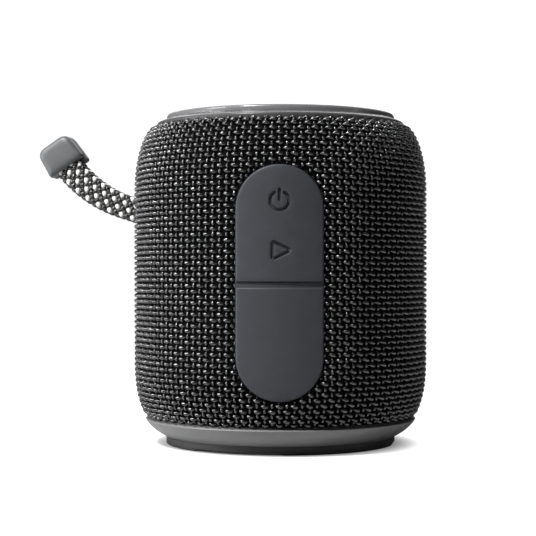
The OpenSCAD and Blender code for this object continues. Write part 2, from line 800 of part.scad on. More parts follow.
fabric_sleeve();
grille_shell();
top_ring();
top_bezel();
top_panel();
volume_up_key();
volume_down_key();
top_chassis();
deflector();
top_board();
top_switches();
ribbon_cable();
chassis_screws();
base_ring();
bottom_cover();
foot_ring();
base_screws();
panel_frame();
key_pad();
power_key();
play_key();
port_cover();
port_cover_pin();
main_board();
key_switches();
usb_c_port();
bluetooth_module();
board_chips();
board_screws();
enclosure_body();
enclosure_gasket();
baffle_plate();
baffle_screws();
wire_grommet();
battery_cell();
battery_cradle();
battery_lead();
driver_lead();
driver_gasket();
driver_basket();
driver_yoke();
driver_magnet();
driver_top_plate();
voice_coil();
driver_cone();
dust_cap();
driver_surround();
driver_spider();
driver_screws();
radiator_frame();
radiator_surround();
radiator_plate();
radiator_screws();
strap_anchor();
strap_pin();
strap_root();
strap_loop();
clip_front();
clip_rear();
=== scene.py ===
"""Looks for a portable round speaker: yarn sleeve, soft-touch panel, rings, braided strap and clip.

Shapes are worked out in millimetres, in the frame's axes, and turned into metres when a mesh is made.
"""

import json
import math

import bpy
import numpy as np
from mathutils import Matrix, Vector
from mathutils.geometry import delaunay_2d_cdt


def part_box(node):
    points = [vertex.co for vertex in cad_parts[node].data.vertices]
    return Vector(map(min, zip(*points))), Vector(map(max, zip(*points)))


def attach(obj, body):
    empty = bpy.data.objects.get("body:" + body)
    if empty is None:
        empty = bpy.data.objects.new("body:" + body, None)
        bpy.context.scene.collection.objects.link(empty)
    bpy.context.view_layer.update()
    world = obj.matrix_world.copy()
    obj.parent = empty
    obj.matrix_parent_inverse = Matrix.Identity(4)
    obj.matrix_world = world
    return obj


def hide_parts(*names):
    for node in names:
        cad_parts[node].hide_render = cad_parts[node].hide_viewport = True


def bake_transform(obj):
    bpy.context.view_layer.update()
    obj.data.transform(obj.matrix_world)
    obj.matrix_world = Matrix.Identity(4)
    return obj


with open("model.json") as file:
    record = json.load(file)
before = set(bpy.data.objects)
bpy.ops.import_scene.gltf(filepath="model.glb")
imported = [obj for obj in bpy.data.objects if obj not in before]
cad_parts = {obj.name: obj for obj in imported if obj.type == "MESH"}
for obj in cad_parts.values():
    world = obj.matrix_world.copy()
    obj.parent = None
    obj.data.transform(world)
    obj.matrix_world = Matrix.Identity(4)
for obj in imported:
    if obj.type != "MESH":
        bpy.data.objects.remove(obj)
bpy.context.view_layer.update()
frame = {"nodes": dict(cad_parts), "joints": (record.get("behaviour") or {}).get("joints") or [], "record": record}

MM = 0.001
SEED = 7
rng = np.random.default_rng(SEED)


def box_mm(node):
    """Lowest and highest corner of a CAD node, in millimetres."""
    low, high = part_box(node)
    return np.array(low) / MM, np.array(high) / MM


def joint(name):
    """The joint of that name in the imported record."""
    return next(j for j in frame["joints"] if j["name"] == name)


# ---- places taken from the frame ----
sleeve_low, sleeve_high = box_mm("fabric_sleeve")
pad_low, pad_high = box_mm("key_pad")
cover_low, cover_high = box_mm("port_cover")
BARREL_R = sleeve_high[0]
FABRIC_Z0, FABRIC_Z1 = sleeve_low[2], sleeve_high[2]
RIM_Z = box_mm("top_bezel")[1][2]
RIM_R = box_mm("top_bezel")[1][0]
FOOT_H = box_mm("foot_ring")[1][2]
FOOT_R = box_mm("foot_ring")[1][0]
PANEL_HALF_W = pad_high[0]
PANEL_Z0, PANEL_Z1 = cover_low[2], pad_high[2]
PAD_Z0 = pad_low[2]
LEDGE_Z1 = cover_high[2]
POWER_Z = np.mean([box[2] for box in box_mm("power_key")])
PLAY_Z = np.mean([box[2] for box in box_mm("play_key")])
KEY_R = box_mm("power_key")[1][0]
LIFT = np.array(joint("strap_lift")["pos_m"]) / MM
STRAP_DIR = np.array([LIFT[0], LIFT[1], 0]) / np.hypot(LIFT[0], LIFT[1])
STRAP_SIDE = np.array([-STRAP_DIR[1], STRAP_DIR[0], 0])
UP = np.array([0.0, 0.0, 1.0])

# ---- the barrel's side: an ellipse arc, a straight band, an ellipse arc ----
LOW_A, LOW_B, LOW_Z = 6, 17.25, 24
HIGH_A, HIGH_B, HIGH_Z = 7.5, 20.11, 75.5
FACE_INSET = 0.3


def side_samples(count=300):
    """Points and outward normals along the barrel's side, from the lower edge to the upper one."""
    low = np.linspace(math.asin((LOW_Z - FABRIC_Z0) / LOW_B), 0, count)
    high = np.linspace(0, math.asin((FABRIC_Z1 - HIGH_Z) / HIGH_B), count)
    r = np.concatenate([BARREL_R - LOW_A + LOW_A * np.cos(low), BARREL_R - HIGH_A + HIGH_A * np.cos(high)])
    z = np.concatenate([LOW_Z - LOW_B * np.sin(low), HIGH_Z + HIGH_B * np.sin(high)])
    nr = np.concatenate([np.cos(low) / LOW_A, np.cos(high) / HIGH_A])
    nz = np.concatenate([-np.sin(low) / LOW_B, np.sin(high) / HIGH_B])
    length = np.hypot(nr, nz)
    arc = np.concatenate([[0], np.cumsum(np.hypot(np.diff(r), np.diff(z)))])
    return r, z, nr / length, nz / length, arc


SIDE_R, SIDE_Z, SIDE_NR, SIDE_NZ, SIDE_ARC = side_samples()
SIDE_LENGTH = SIDE_ARC[-1]


def side_at(arc, inset):
    """Radius, height and outward normal at a length along the side, pushed inwards by inset."""
    nr, nz = np.interp(arc, SIDE_ARC, SIDE_NR), np.interp(arc, SIDE_ARC, SIDE_NZ)
    r = np.interp(arc, SIDE_ARC, SIDE_R) - inset * nr
    z = np.interp(arc, SIDE_ARC, SIDE_Z) - inset * nz
    return r, z, nr, nz


def radius_at(z, inset):
    """Radius, at a height, of the surface that lies inset under the fabric's outside."""
    base_z = z + inset * np.interp(z, SIDE_Z, SIDE_NZ)
    return np.interp(base_z, SIDE_Z, SIDE_R) - inset * np.interp(base_z, SIDE_Z, SIDE_NR)


# ---- meshes ----
def make_object(name, verts, faces, material, sharp_deg=None):
    """An object from points in millimetres and a list of face arrays, one array per number of corners."""
    faces = [np.asarray(f, np.int32) for f in faces if len(f)]
    corners = np.concatenate([f.ravel() for f in faces])
    sizes = np.concatenate([np.full(len(f), f.shape[1], np.int32) for f in faces])
    mesh = bpy.data.meshes.new(name)
    mesh.vertices.add(len(verts))
    mesh.vertices.foreach_set("co", (np.asarray(verts) * MM).astype(np.float32).ravel())
    mesh.loops.add(len(corners))
    mesh.loops.foreach_set("vertex_index", corners)
    mesh.polygons.add(len(sizes))
    mesh.polygons.foreach_set("loop_start", np.concatenate([[0], np.cumsum(sizes)[:-1]]).astype(np.int32))
    mesh.update(calc_edges=True)
    mesh.validate()
    mesh.shade_smooth()
    if sharp_deg:
        mesh.set_sharp_from_angle(angle=math.radians(sharp_deg))
    mesh.materials.append(material)
    obj = bpy.data.objects.new(name, mesh)
    bpy.context.scene.collection.objects.link(obj)
    return obj


NEARLY_STRAIGHT = 1.5


def rounded(corners, radii, steps=5):
    """A closed outline with each corner turned into a curve that is close to an arc of its own radius.
    A corner without a radius, or with half its angle over NEARLY_STRAIGHT radians, stays a point."""
    out = []
    corners = np.asarray(corners, float)
    for i, corner in enumerate(corners):
        to_last = corners[i - 1] - corner
        to_next = corners[(i + 1) % len(corners)] - corner
        reach_last, reach_next = np.linalg.norm(to_last), np.linalg.norm(to_next)
        u, v = to_last / reach_last, to_next / reach_next
        half = math.acos(np.clip(u @ v, -1, 1)) / 2
        cut = min(radii[i] / max(math.tan(half), 1e-6), 0.49 * min(reach_last, reach_next))
        if radii[i] == 0 or half > NEARLY_STRAIGHT:
            out.append(corner)
            continue
        start, end = corner + cut * u, corner + cut * v
        for t in np.linspace(0, 1, steps):
            out.append((1 - t) ** 2 * start + 2 * t * (1 - t) * corner + t * t * end)
    return np.array(out)


def lathe(name, profile, material, steps=240, sharp_deg=35, underside=None):
    """A ring: a closed outline of radius and height turned about the barrel's axis.
    underside gives the height of its lowest point at each turn, and the outline is squeezed up to it."""
    turn = np.linspace(0, 2 * math.pi, steps, endpoint=False)
    r, z = profile[:, 0], np.tile(profile[:, 1], (steps, 1))
    if underside is not None:
        z = z + (underside(turn)[:, None] - z.min()) * (z.max() - z) / np.ptp(z)
    verts = np.stack([np.outer(np.cos(turn), r), np.outer(np.sin(turn), r), z], -1)
    count = len(profile)
    i, k = np.meshgrid(np.arange(steps), np.arange(count), indexing="ij")
    here, up = i * count + k, i * count + (k + 1) % count
    step = ((i + 1) % steps) * count
    quads = np.stack([here, step + k, step + (k + 1) % count, up], -1).reshape(-1, 4)
    return make_object(name, verts.reshape(-1, 3), [quads], material, sharp_deg)


class Tubes:
    """Collects yarns, each a tube of elliptical section with closed ends, into one mesh."""

    def __init__(self, sides):
        self.turn = np.linspace(0, 2 * math.pi, sides, endpoint=False)
        self.verts, self.quads, self.caps, self.count = [], [], [], 0

    def add(self, centre, wide, thick, half_w, half_t, closed=False):
        """One yarn along the centre points; wide and thick are the section's directions at each."""
        sides, n = len(self.turn), len(centre)
        half_w, half_t = np.broadcast_to(half_w, n), np.broadcast_to(half_t, n)
        rings = (centre[:, None, :]
                 + (np.cos(self.turn)[None, :] * half_w[:, None])[..., None] * wide[:, None, :]
                 + (np.sin(self.turn)[None, :] * half_t[:, None])[..., None] * thick[:, None, :])
        spans = n if closed else n - 1
        i, k = np.meshgrid(np.arange(spans), np.arange(sides), indexing="ij")
        after, side = ((i + 1) % n) * sides, (k + 1) % sides
        quads = np.stack([i * sides + k, i * sides + side, after + side, after + k], -1).reshape(-1, 4)
        self.verts.append(rings.reshape(-1, 3))
        self.quads.append(quads + self.count)
        if not closed:
            first, last = np.arange(sides), np.arange(sides) + (n - 1) * sides
            self.caps.append(np.stack([first[::-1], last]) + self.count)
        self.count += n * sides

    def build(self, name, material):
        quads = np.concatenate(self.quads)
        faces = [quads] + ([np.concatenate(self.caps)] if self.caps else [])
        return make_object(name, np.concatenate(self.verts), faces, material)


def unit(v):
    return v / np.linalg.norm(v, axis=-1, keepdims=True)


# ---- materials ----
def material(name, colour, rough, grain_mm=0.3, bump_mm=0.0, mottle=0.0, metallic=0.0, rough_spread=0.0,
             specular=0.5, baked=True):
    """A procedural surface: grain, mottled colour and uneven roughness from noise in the object's space.
    When baked is False the colour stays plain and the grain goes through the displacement socket."""
    mat = bpy.data.materials.new(name)
    mat.use_nodes = True
    nodes, links = mat.node_tree.nodes, mat.node_tree.links
    shader = nodes["Principled BSDF"]
    shader.inputs["Base Color"].default_value = (*colour, 1)
    shader.inputs["Roughness"].default_value = rough
    shader.inputs["Metallic"].default_value = metallic
    shader.inputs["Specular IOR Level"].default_value = specular
    where = nodes.new("ShaderNodeTexCoord")

    def noise(size_mm, detail=2.0):
        node = nodes.new("ShaderNodeTexNoise")
        node.inputs["Scale"].default_value = 1 / (size_mm * MM)
        node.inputs["Detail"].default_value = detail
        links.new(where.outputs["Object"], node.inputs["Vector"])
        return node.outputs["Fac"]

    def mapped(fac, low, high):
        node = nodes.new("ShaderNodeMapRange")
        node.inputs["From Min"].default_value = 0.3
        node.inputs["From Max"].default_value = 0.7
        node.inputs["To Min"].default_value = low
        node.inputs["To Max"].default_value = high
        links.new(fac, node.inputs["Value"])
        return node.outputs["Result"]

    grain = noise(grain_mm)
    if not baked:
        height = nodes.new("ShaderNodeDisplacement")
        height.inputs["Midlevel"].default_value = 0.5
        height.inputs["Scale"].default_value = bump_mm * MM
        links.new(grain, height.inputs["Height"])
        links.new(height.outputs["Displacement"], nodes["Material Output"].inputs["Displacement"])
        gloss = mapped(noise(grain_mm * 12), specular * 0.7, specular * 1.3)
        links.new(gloss, shader.inputs["Specular IOR Level"])
        return mat
    if mottle:
        mix = nodes.new("ShaderNodeMix")
        mix.data_type = "RGBA"
        mix.inputs["A"].default_value = (*[c * (1 - mottle) for c in colour], 1)
        mix.inputs["B"].default_value = (*[min(c * (1 + mottle), 1) for c in colour], 1)
        links.new(mapped(noise(grain_mm * 25, 4), 0, 1), mix.inputs["Factor"])
        links.new(mix.outputs["Result"], shader.inputs["Base Color"])
    if rough_spread:
        links.new(mapped(noise(grain_mm * 40, 3), rough - rough_spread, rough + rough_spread),
                  shader.inputs["Roughness"])
    if bump_mm:
        bump = nodes.new("ShaderNodeBump")
        bump.inputs["Distance"].default_value = bump_mm * MM
        links.new(grain, bump.inputs["Height"])
        links.new(bump.outputs["Normal"], shader.inputs["Normal"])
    return mat


# ---- cut-outs in the sleeve ----
SLOT_HALF_W, SLOT_HALF_H, SLOT_CORNER = 3.7, 4.7, 2
SLOT_Z = 69.5
CUT_GAP = 0.35
TUCK_RUN, TUCK_DEPTH = 1.3, 1.5


def pill_distance(x, z):
    """Signed distance from the control panel's outline, positive outside."""
    low, high = PANEL_Z0 + PANEL_HALF_W, PANEL_Z1 - PANEL_HALF_W
    return np.hypot(x, z - np.clip(z, low, high)) - PANEL_HALF_W


def cut_distance(points):
    """Distance of points on the barrel from the nearest cut-out, positive where there is fabric."""
    x, y, z = points[..., 0], points[..., 1], points[..., 2]
    panel = np.where(y < 0, pill_distance(x, z), BARREL_R)
    across, along = points @ STRAP_SIDE, points @ STRAP_DIR
    dx = np.maximum(np.abs(across) - SLOT_HALF_W + SLOT_CORNER, 0)
    dz = np.maximum(np.abs(z - SLOT_Z) - SLOT_HALF_H + SLOT_CORNER, 0)
    slot = np.where(along > 0, np.hypot(dx, dz) - SLOT_CORNER, BARREL_R)
    return np.minimum(panel, slot) - CUT_GAP


def runs(keep, closed):
    """Index lists of the unbroken stretches where keep is true, joined across the end of a closed yarn."""
    if keep.all():
        return [(np.arange(len(keep)), closed)]
    order = np.arange(len(keep))
    if closed:
        order = np.roll(order, -int(np.argmin(keep)))
    kept = keep[order]
    edges = np.flatnonzero(np.diff(np.concatenate([[0], kept.astype(int), [0]])))
    return [(order[a:b], False) for a, b in zip(edges[::2], edges[1::2]) if b - a > 2]


# ---- woven sleeve ----
WARPS = 128
WARP_PITCH = 2 * math.pi * BARREL_R / WARPS
WEFT_PITCH = 1.57
YARN_INSET = 0.75
SAMPLES = 6
EDGE_TUCK = 0.6
WEFT_BANDS = 4
WEFTS = int(SIDE_LENGTH / WEFT_PITCH)
PITCH = SIDE_LENGTH / WEFTS
# A yarn swells where it floats over its neighbours and thins where it dives under them.
# reach is half the float's length, and the pairs are the value at the dive and what the float adds.
WEFT = {"reach": 1.34, "lift": (-0.68, 1.04), "half_w": (0.14, 0.44), "half_t": (0.16, 0.3)}
WARP = {"reach": 0.9, "lift": (-0.5, 0.6), "half_w": (0.2, 0.2), "half_t": (0.18, 0.14)}
SWELL_POWER = 0.6
WEFT_LEAN = 0.16
WEFT_WANDER, WARP_WANDER = 0.04, 0.001
WEFT_KNOTS, WARP_KNOTS = 33, 9
WEFT_SIDES, WARP_SIDES = 7, 6


def floats(phase, pitch, yarn):
    """Lift, half width and half thickness of a yarn whose floats are centred on even phases."""
    away = ((phase + 1) % 2 - 1) * pitch / yarn["reach"]
    swell = np.clip(1 - away ** 2, 0, 1) ** SWELL_POWER
    return [low + more * swell for low, more in (yarn["lift"], yarn["half_w"], yarn["half_t"])]


def yarn_points(turn, arc, lift):
    """Points, outward normals and a mask of what is kept of a yarn, tucked in at every edge."""
    def place(inset):
        r, z, nr, nz = side_at(arc, inset)
        flat = np.stack([r * np.cos(turn), r * np.sin(turn), z + 0 * turn], -1)
        normal = np.stack([nr * np.cos(turn), nr * np.sin(turn), nz + 0 * turn], -1)
        return flat, normal
    distance = cut_distance(place(0.0)[0])
    tuck = TUCK_DEPTH * np.clip(1 - distance / TUCK_RUN, 0, 1) ** 2
    ends = np.minimum(arc, SIDE_LENGTH - arc)
    tuck = tuck + EDGE_TUCK * np.clip(1 - ends / PITCH, 0, 1)
    centre, normal = place(YARN_INSET - lift + tuck)
    return centre, normal, distance > 0


def weave_wefts(yarn):
    """The rows that run round the barrel, in bands."""
    pieces = []
    turn = np.linspace(0, 2 * math.pi, WARPS * SAMPLES, endpoint=False)
    around = np.stack([-np.sin(turn), np.cos(turn), 0 * turn], -1)
    knots = np.linspace(0, 2 * math.pi, WEFT_KNOTS)
    for band in range(WEFT_BANDS):
        tubes = Tubes(WEFT_SIDES)
        for row in range(band * WEFTS // WEFT_BANDS, (band + 1) * WEFTS // WEFT_BANDS):
            phase = WARPS * turn / (2 * math.pi) + row
            lift, half_w, half_t = floats(phase, WARP_PITCH, WEFT)
            wander = np.interp(turn, knots, rng.normal(0, WEFT_WANDER, WEFT_KNOTS), period=2 * math.pi)
            arc = (row + 0.5) * PITCH + wander - WEFT_LEAN * np.sin(math.pi * phase)
            centre, normal, keep = yarn_points(turn, arc, lift)
            wide = np.cross(normal, around)
            for index, closed in runs(keep, True):
                tubes.add(centre[index], wide[index], normal[index], half_w[index], half_t[index], closed)
        pieces.append(tubes.build(f"sleeve_weft_{band + 1}", yarn))
    return pieces


def weave_warps(yarn):
    """The yarns that run up the barrel, in three sectors that start at +X and go round by +Y.
    The sectors' names are labels only, and don't say where a sector lies."""
    pieces = []
    arc = np.linspace(0, SIDE_LENGTH, WEFTS * SAMPLES + 1)
    knots = np.linspace(0, SIDE_LENGTH, WARP_KNOTS)
    sectors = ["left", "right", "rear"]
    for sector, sector_name in enumerate(sectors):
        tubes = Tubes(WARP_SIDES)
        for warp in range(sector * WARPS // 3, (sector + 1) * WARPS // 3):
            lift, half_w, half_t = floats(arc / PITCH + 0.5 + warp, PITCH, WARP)
            wander = np.interp(arc, knots, rng.normal(0, WARP_WANDER, WARP_KNOTS))
            turn = 2 * math.pi * warp / WARPS + wander
            centre, normal, keep = yarn_points(turn, arc, lift)
            wide = np.stack([np.sin(turn), -np.cos(turn), 0 * turn], -1)
            for index, _ in runs(keep, False):
                tubes.add(centre[index], wide[index], normal[index], half_w[index], half_t[index])
        pieces.append(tubes.build("sleeve_warp_" + sector_name, yarn))
    return pieces


SCRIM_INSET, SCRIM_EDGE = 1.08, 1.0


def line_sleeve(cloth, steps=420, rows=100):
    """The thin cloth liner that lies behind the yarns, open at the cut-outs. It is near black as painted shade, so
    the gaps between the yarns read as deep shade.
    """
    turn, arc = np.meshgrid(np.linspace(0, 2 * math.pi, steps, endpoint=False),
                            np.linspace(0, SIDE_LENGTH, rows), indexing="ij")
    r, z, _, _ = side_at(arc, SCRIM_INSET)
    verts = np.stack([r * np.cos(turn), r * np.sin(turn), z], -1)
    i, k = np.meshgrid(np.arange(steps), np.arange(rows - 1), indexing="ij")
    here, after = i * rows + k, (i + 1) % steps * rows + k
    quads = np.stack([here, after, after + 1, here + 1], -1).reshape(-1, 4)
    verts = verts.reshape(-1, 3)
    quads = quads[(cut_distance(verts)[quads] > SCRIM_EDGE).all(axis=1)]
    used, quads = np.unique(quads, return_inverse=True)
    return make_object("sleeve_scrim_shade", verts[used], [quads.reshape(-1, 4)], cloth)


# ---- engraved marks ----
MARK_DEPTH = 0.7
MARK_HALF = 0.4
MARK_LEVELS = [0.2, 0.08, 0.03, -0.02, -0.07]


def engraved(distance):
    """Depth at a signed distance from a stroke's edge: a wall with a rounded lip."""
    return MARK_DEPTH * np.interp(distance, MARK_LEVELS[::-1], [1, 0.75, 0.25, 0.06, 0])


def arc_points(centre, radius, start_deg, end_deg, steps):
    t = np.radians(np.linspace(start_deg, end_deg, steps))
    return np.stack([centre[0] + radius * np.cos(t), centre[1] + radius * np.sin(t)], -1)


def stroke_loop(path, half):
    """Outline of a stroke with round ends along a path."""
    tangent = unit(np.gradient(path, axis=0))
    normal = np.stack([-tangent[:, 1], tangent[:, 0]], -1)
    head = math.degrees(math.atan2(tangent[-1, 1], tangent[-1, 0]))
    tail = math.degrees(math.atan2(tangent[0, 1], tangent[0, 0]))
    end_cap = arc_points(path[-1], half, head - 90, head + 90, 9)[1:-1]
    start_cap = arc_points(path[0], half, tail + 90, tail + 270, 9)[1:-1]
    return np.concatenate([path - half * normal, end_cap, (path + half * normal)[::-1], start_cap])


def path_distance(points, path):
    """Distance of each point from a path."""
    best = np.full(len(points), np.inf)
    for a, b in zip(path[:-1], path[1:]):
        along = np.clip(((points - a) @ (b - a)) / ((b - a) @ (b - a)), 0, 1)
        best = np.minimum(best, np.linalg.norm(points - a - along[:, None] * (b - a), axis=1))
    return best


class Strokes:
    """A mark made of open strokes."""

    def __init__(self, paths):
        self.paths = paths

    def loops(self, level):
        return [stroke_loop(path, MARK_HALF + level) for path in self.paths]

    def distance(self, points):
        return np.min([path_distance(points, path) for path in self.paths], axis=0) - MARK_HALF


class TriangleOutline:
    """A mark made of one stroke round a triangle with rounded corners that points to +X."""

    def __init__(self, centre, half_height, length, corner):
        side = math.hypot(half_height, length)
        self.inradius = half_height * length / (half_height + side)
        self.middle = np.array(centre) + [-length / 2 + self.inradius, 0]
        self.shape = np.array([[-length / 2, -half_height], [length / 2, 0], [-length / 2, half_height]])
        self.shape += np.array(centre) - self.middle
        self.corner = corner

    def loop(self, grow):
        scale = (self.inradius + grow) / self.inradius
        radius = max(self.corner + grow, 0.06)
        return self.middle + rounded(self.shape * scale, [radius] * 3, 7)

    def loops(self, level):
        return [self.loop(MARK_HALF + level), self.loop(-MARK_HALF - level)]

    def distance(self, points):
        scale = (self.inradius - self.corner) / self.inradius
        tri = self.middle + self.shape * scale
        closed = np.concatenate([tri, tri[:1]])
        edges = np.roll(tri, -1, axis=0) - tri
        inside = np.all([(e[0] * (points - a)[:, 1] - e[1] * (points - a)[:, 0]) > 0
                         for a, e in zip(tri, edges)], axis=0)
        away = path_distance(points, closed)
        return np.abs(np.where(inside, -away, away) - self.corner) - MARK_HALF


POWER_R, POWER_GAP_DEG, POWER_BAR = 2.57, 32, (0.25, 3.05)
PLAY_HALF_H, PLAY_LENGTH, PLAY_CORNER, PLAY_SHIFT = 2.55, 5.2, 0.4, 0.6
LEVEL_REACH = 2.1


def power_mark(centre):
    ring = arc_points(centre, POWER_R, 90 + POWER_GAP_DEG, 450 - POWER_GAP_DEG, 40)
    bar = np.array([[centre[0], centre[1] + z] for z in np.linspace(*POWER_BAR, 4)])
    return Strokes([ring, bar])


def play_mark(centre):
    return TriangleOutline(centre, PLAY_HALF_H, PLAY_LENGTH, PLAY_CORNER)


def level_mark(centre, crossed):
    """A minus, or a plus when crossed."""
    reach = np.linspace(-LEVEL_REACH, LEVEL_REACH, 4)[:, None]
    paths = [np.array(centre) + reach * [1, 0]]
    if crossed:
        paths.append(np.array(centre) + reach * [0, 1])
    return Strokes(paths)


# ---- skins: thin closed pieces cut from a surface ----
FILLET = 0.5
FILLET_STEPS = np.radians([0, 20, 42, 66, 90])
EDGE_STEP, ACROSS_COUNT = 1.2, 21


def fillet(distance, radius):
    """Depth of a rounded edge at a distance inside the outline."""
    inner = np.clip(radius - distance, 0, radius)
    return radius - np.sqrt(radius ** 2 - inner ** 2)


def fillet_offsets(radius):
    return radius * (1 - np.cos(FILLET_STEPS))


def half_pill(half_w, turn_z, flat_z, arc_steps=40):
    """A loop with one round end about turn_z and a straight edge at flat_z."""
    up = 1 if turn_z > flat_z else -1
    steps = max(int(abs(turn_z - flat_z) / EDGE_STEP), 1)
    rise = np.linspace(flat_z, turn_z, steps + 1)[:-1]
    arc = arc_points((0, turn_z), half_w, 0, 180 * up, arc_steps)
    right = np.stack([np.full(steps, half_w), rise], -1)
    left = np.stack([np.full(steps, -half_w), rise[::-1]], -1)
    across = np.stack([np.linspace(-half_w, half_w, ACROSS_COUNT)[1:-1],
                       np.full(ACROSS_COUNT - 2, flat_z)], -1)
    return np.concatenate([right, arc, left, across])[::up]


def circle_loop(centre, radius, steps=72):
    return arc_points(centre, radius, 0, 360, steps + 1)[:-1]


def skin(name, loops, lines, inside, depth, front, back, mat, spacing=1.1):
    """A closed piece over a flat outline. loops and lines guide the net of triangles, inside says where
    there is material, depth is how far the face lies under front, and front and back turn flat points
    into places."""
    points, edges = [], []
    for path, closed in [(p, True) for p in loops] + [(p, False) for p in lines]:
        first = len(points)
        points.extend(path.tolist())
        edges.extend((first + i, first + i + 1) for i in range(len(path) - 1))
        if closed:
            edges.append((first + len(path) - 1, first))
    low, high = np.min(points, axis=0), np.max(points, axis=0)
    columns, rows = np.arange(low[0], high[0], spacing), np.arange(low[1], high[1], spacing)
    grid = np.stack(np.meshgrid(columns, rows), -1).reshape(-1, 2) + [spacing / 3, spacing / 3]
    near = np.array(points)
    clear = [np.min(np.sum((near - g) ** 2, axis=1)) > (0.35 * spacing) ** 2 for g in grid]
    points.extend(grid[np.array(clear) & inside(grid)].tolist())
    flat, _, tris, *_ = delaunay_2d_cdt([Vector(p) for p in points], edges, [], 0, 1e-5)
    flat = np.array([list(p) for p in flat])
    tris = np.array([t for t in tris if len(t) == 3])
    tris = tris[inside(flat[tris].mean(axis=1))]
    used, tris = np.unique(tris, return_inverse=True)
    tris = tris.reshape(-1, 3)
    flat = flat[used]
    a, b, c = flat[tris[:, 0]], flat[tris[:, 1]], flat[tris[:, 2]]
    area = (b - a)[:, 0] * (c - a)[:, 1] - (b - a)[:, 1] * (c - a)[:, 0]
    tris = np.where((area > 0)[:, None], tris, tris[:, ::-1])
    count = len(flat)
    rims = {}
    for t in tris:
        for p, q in ((t[0], t[1]), (t[1], t[2]), (t[2], t[0])):
            if not rims.pop((q, p), None):
                rims[(p, q)] = True
    walls = np.array([[q, p, p + count, q + count] for p, q in rims])
    verts = np.concatenate([front(flat, depth(flat)), back(flat)])
    return make_object(name, verts, [tris, tris[:, ::-1] + count, walls], mat, 40)


def on_barrel(flat, inset):
    """Places on the front of the barrel for points of x and z."""
    r = radius_at(flat[:, 1], inset)
    return np.stack([flat[:, 0], -np.sqrt(r ** 2 - flat[:, 0] ** 2), flat[:, 1]], -1)


def barrel_front(flat, depth):
    return on_barrel(flat, FACE_INSET + depth)


KEY_GAP = 0.01
PAD_T, CAP_T = 1.7, 1.2
PILL_TOP, PILL_BOTTOM = PANEL_Z1 - PANEL_HALF_W, PANEL_Z0 + PANEL_HALF_W
GROOVE_Z = 47.9
LIP_Z = 2 * GROOVE_Z - PAD_Z0
LEDGE_DEPTH = 0.7


def make_key_pad(rubber):
    """The upper part of the panel, with a round hole for each key."""
    keys = [(0, POWER_Z), (0, PLAY_Z)]
    offsets = fillet_offsets(FILLET)

    def inset_of(p):
        return np.minimum(-pill_distance(p[:, 0], p[:, 1]), p[:, 1] - PAD_Z0)

    def inside(p):
        holes = np.min([np.hypot(p[:, 0] - k[0], p[:, 1] - k[1]) for k in keys], axis=0)
        return (inset_of(p) > 0) & (holes > KEY_R + KEY_GAP)

    loops = [half_pill(PANEL_HALF_W - d, PILL_TOP, PAD_Z0 + d) for d in offsets]
    loops += [circle_loop(k, KEY_R + KEY_GAP) for k in keys]
    return skin("panel_key_pad", loops, [], inside, lambda p: fillet(inset_of(p), FILLET),
                barrel_front, lambda p: on_barrel(p, FACE_INSET + PAD_T), rubber)


def make_key(name, centre, mark, rubber):
    """A round key with its mark cut into its face."""
    loops = [circle_loop(centre, KEY_R)]
    for level in MARK_LEVELS:
        loops += mark.loops(level)

    def inside(p):
        return np.hypot(p[:, 0] - centre[0], p[:, 1] - centre[1]) < KEY_R

    return skin(name, loops, [], inside, lambda p: engraved(mark.distance(p)),
                barrel_front, lambda p: on_barrel(p, FACE_INSET + CAP_T), rubber, 0.9)


def make_port_cover(rubber):
    """The lower part of the panel, with a rounded lip over a sunken ledge under the groove."""
    offsets = fillet_offsets(FILLET)

    def inset_of(p):
        return np.minimum(-pill_distance(p[:, 0], p[:, 1]), np.where(p[:, 1] > LEDGE_Z1, -1, BARREL_R))

    def depth(p):
        edge = fillet(inset_of(p), FILLET)
        lip = np.where(p[:, 1] > LIP_Z - 0.001, LEDGE_DEPTH, fillet(LIP_Z - p[:, 1], FILLET))
        return np.maximum(edge, lip)

    loops = [half_pill(PANEL_HALF_W - d, PILL_BOTTOM, LEDGE_Z1) for d in offsets]
    reach = np.linspace(-PANEL_HALF_W + 0.001, PANEL_HALF_W - 0.001, 23)
    lines = [np.stack([reach, np.full(23, LIP_Z - d)], -1) for d in np.concatenate([[0], offsets + 0.01])]
    return skin("panel_port_cover", loops, lines, lambda p: inset_of(p) > 0, depth,
                barrel_front, lambda p: on_barrel(p, FACE_INSET + CAP_T), rubber)


# ---- top ----
TOP_EDGE, TOP_KEY_GAP, KEY_CAP_T = 0.25, 0.1, 1.6


